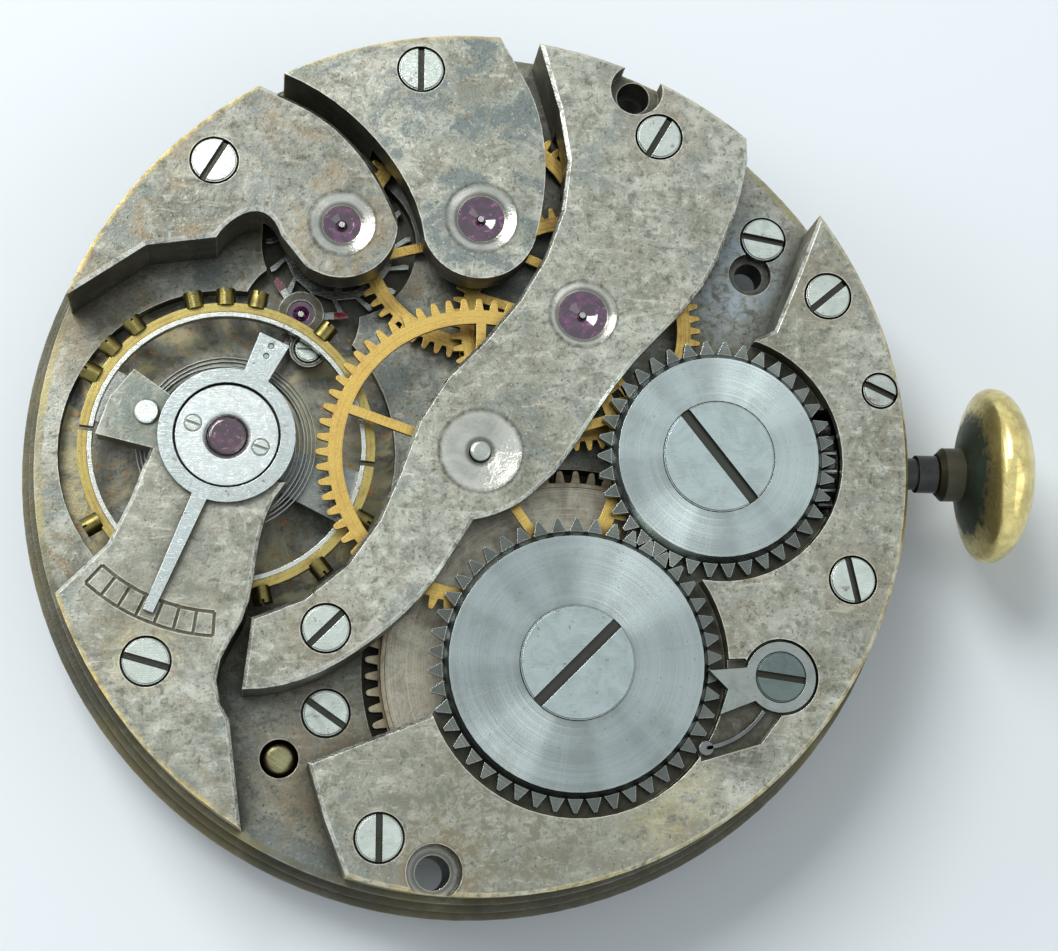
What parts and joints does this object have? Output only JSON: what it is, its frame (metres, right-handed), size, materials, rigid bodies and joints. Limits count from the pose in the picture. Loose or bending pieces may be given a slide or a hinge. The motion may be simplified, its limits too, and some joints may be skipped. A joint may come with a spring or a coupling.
{
  "type": "hand-wound watch movement",
  "caption": "Round hand-wound watch movement with bridges, jewelled wheel train, screw balance with overcoil hairspring, winding wheels, stem and crown.",
  "frame": {"origin": "centre of the dial seat, on the dial-side face of the main plate", "axes": "+Z towards the bridges, +X along the winding stem towards the crown, +Y across them"},
  "size_m": [0.0275, 0.0242, 0.0056],
  "materials": {
    "tarnished_nickel": "plated with nickel, mottled and tarnished, worn to brass at edges",
    "polished_steel": "polished steel",
    "ground_steel": "finely ground steel",
    "spring_steel": "tempered spring steel",
    "wheel_brass": "gilt brass",
    "grey_steel": "dull grey",
    "gold_plate": "polished and gilt",
    "ruby": "polished synthetic ruby"
  },
  "bodies": {
    "frame": {"main_plate": "tarnished_nickel", "barrel_bridge": "tarnished_nickel", "train_bridge": "tarnished_nickel", "fourth_wheel_cock": "tarnished_nickel", "escape_wheel_cock": "tarnished_nickel", "balance_cock": "tarnished_nickel", "pallet_cock": "tarnished_nickel", "bridge_screws": "polished_steel", "dial_foot_screws": "polished_steel", "crown_wheel_screw": "polished_steel", "click_screw": "polished_steel", "setting_lever_screw": "polished_steel", "small_screws": "polished_steel", "click_spring": "spring_steel", "train_jewels": "ruby", "balance_hole_jewels": "ruby", "balance_cap_jewels": "ruby", "upper_cap_plate": "polished_steel", "lower_cap_plate": "polished_steel", "hairspring_stud": "polished_steel", "setting_cover": "polished_steel", "yoke_spring": "spring_steel", "locating_stud": "wheel_brass"},
    "barrel": {"barrel_drum": "wheel_brass", "barrel_cover": "grey_steel", "mainspring": "spring_steel"},
    "ratchet": {"barrel_arbor": "polished_steel", "ratchet_wheel": "ground_steel", "ratchet_screw": "polished_steel"},
    "crown_wheel": {"crown_wheel": "ground_steel"},
    "centre": {"centre_wheel": "wheel_brass", "centre_arbor": "polished_steel", "cannon_pinion": "polished_steel"},
    "third": {"third_wheel": "wheel_brass", "third_arbor": "polished_steel"},
    "fourth": {"fourth_wheel": "wheel_brass", "fourth_arbor": "polished_steel"},
    "escape": {"escape_wheel": "polished_steel", "escape_arbor": "polished_steel"},
    "pallets": {"pallet_fork": "polished_steel", "pallet_stones": "ruby"},
    "balance": {"balance_wheel": "ground_steel", "balance_rim": "wheel_brass", "balance_screws": "wheel_brass", "balance_staff": "polished_steel", "roller": "polished_steel", "impulse_jewel": "ruby", "hairspring": "spring_steel"},
    "regulator": {"regulator": "polished_steel"},
    "winding_pinion": {"winding_pinion": "polished_steel"},
    "clutch": {"sliding_pinion": "polished_steel"},
    "stem": {"winding_stem": "polished_steel", "crown": "gold_plate"},
    "setting_lever": {"setting_lever": "polished_steel"},
    "yoke": {"yoke": "polished_steel"},
    "setting_wheel": {"setting_wheel": "ground_steel"},
    "minute_wheel": {"minute_wheel": "wheel_brass"},
    "hour_wheel": {"hour_wheel": "wheel_brass"},
    "click": {"click": "polished_steel"}
  },
  "joints": [
    {"name": "centre_wheel_turn", "type": "hinge", "parent": "frame", "child": "centre", "pos_m": [0, 0, 0.00155], "axis": [0, 0, 1], "continuous": true},
    {"name": "barrel_turn", "type": "hinge", "parent": "frame", "child": "barrel", "pos_m": [0.00255, -0.00557, 0.00155], "axis": [0, 0, 1], "continuous": true, "deforming": ["mainspring"]},
    {"name": "third_wheel_turn", "type": "hinge", "parent": "frame", "child": "third", "pos_m": [0.00275, 0.00381, 0.00155], "axis": [0, 0, 1], "continuous": true},
    {"name": "fourth_wheel_turn", "type": "hinge", "parent": "frame", "child": "fourth", "pos_m": [0, 0.0064, 0.00155], "axis": [0, 0, 1], "continuous": true},
    {"name": "escape_wheel_turn", "type": "hinge", "parent": "frame", "child": "escape", "pos_m": [-0.00374, 0.00612, 0.00155], "axis": [0, 0, 1], "continuous": true},
    {"name": "minute_wheel_turn", "type": "hinge", "parent": "frame", "child": "minute_wheel", "pos_m": [0.00202, 0.0011, 0.00155], "axis": [0, 0, 1], "continuous": true},
    {"name": "hour_wheel_turn", "type": "hinge", "parent": "frame", "child": "hour_wheel", "pos_m": [0, 0, 0.00155], "axis": [0, 0, 1], "continuous": true},
    {"name": "setting_wheel_turn", "type": "hinge", "parent": "frame", "child": "setting_wheel", "pos_m": [0.0047, 0.001, 0.00155], "axis": [0, 0, 1], "continuous": true},
    {"name": "crown_turn", "type": "hinge", "parent": "frame", "child": "winding_pinion", "pos_m": [0.00914, 0, 0.00155], "axis": [1, 0, 0], "continuous": true},
    {"name": "crown_wheel_turn", "type": "hinge", "parent": "frame", "child": "crown_wheel", "pos_m": [0.00639, 0, 0.00155], "axis": [0, 0, 1], "continuous": true},
    {"name": "ratchet_wheel_turn", "type": "hinge", "parent": "frame", "child": "ratchet", "pos_m": [0.00255, -0.00557, 0.00155], "axis": [0, 0, 1], "continuous": true},
    {"name": "stem_pull", "type": "slide", "parent": "winding_pinion", "child": "stem", "axis": [1, 0, 0], "range_m": [0, 0.0005]},
    {"name": "clutch_slide", "type": "slide", "parent": "winding_pinion", "child": "clutch", "axis": [1, 0, 0], "range_m": [-0.0005, 0]},
    {"name": "setting_lever_turn", "type": "hinge", "parent": "frame", "child": "setting_lever", "pos_m": [0.01084, 0.00192, 0.00155], "axis": [0, 0, 1], "range_deg": [0, 15]},
    {"name": "yoke_turn", "type": "hinge", "parent": "frame", "child": "yoke", "pos_m": [0.0082, 0.00305, 0.00155], "axis": [0, 0, 1], "range_deg": [-10, 0], "deforming": ["yoke_spring"]},
    {"name": "pallet_swing", "type": "hinge", "parent": "frame", "child": "pallets", "pos_m": [-0.00476, 0.00404, 0.00155], "axis": [0, 0, 1], "range_deg": [-6, 6]},
    {"name": "balance_swing", "type": "hinge", "parent": "frame", "child": "balance", "pos_m": [-0.00664, 0.00022, 0.00155], "axis": [0, 0, 1], "range_deg": [-270, 270], "stiffness_Nm_per_rad": 0.00000011, "deforming": ["hairspring"]},
    {"name": "regulator_turn", "type": "hinge", "parent": "frame", "child": "regulator", "pos_m": [-0.00664, 0.00022, 0.00155], "axis": [0, 0, 1], "range_deg": [-12, 12]},
    {"name": "click_lift", "type": "hinge", "parent": "frame", "child": "click", "pos_m": [0.00794, -0.00588, 0.00155], "axis": [0, 0, 1], "range_deg": [0, 10], "deforming": ["click_spring"]}
  ],
  "couplings": [
    {"joint": "barrel_turn", "follows": "centre_wheel_turn", "ratio": -0.15789},
    {"joint": "third_wheel_turn", "follows": "centre_wheel_turn", "ratio": -8},
    {"joint": "fourth_wheel_turn", "follows": "centre_wheel_turn", "ratio": 60},
    {"joint": "escape_wheel_turn", "follows": "centre_wheel_turn", "ratio": -600},
    {"joint": "minute_wheel_turn", "follows": "centre_wheel_turn", "ratio": -0.33333},
    {"joint": "hour_wheel_turn", "follows": "centre_wheel_turn", "ratio": 0.083333},
    {"joint": "setting_wheel_turn", "follows": "centre_wheel_turn", "ratio": 0.6},
    {"joint": "crown_wheel_turn", "follows": "crown_turn", "ratio": -0.42105},
    {"joint": "ratchet_wheel_turn", "follows": "crown_turn", "ratio": 0.34783},
    {"joint": "clutch_slide", "follows": "stem_pull", "ratio": -1},
    {"joint": "setting_lever_turn", "follows": "stem_pull", "rad_per_m": 509},
    {"joint": "yoke_turn", "follows": "stem_pull", "rad_per_m": -325}
  ]
}
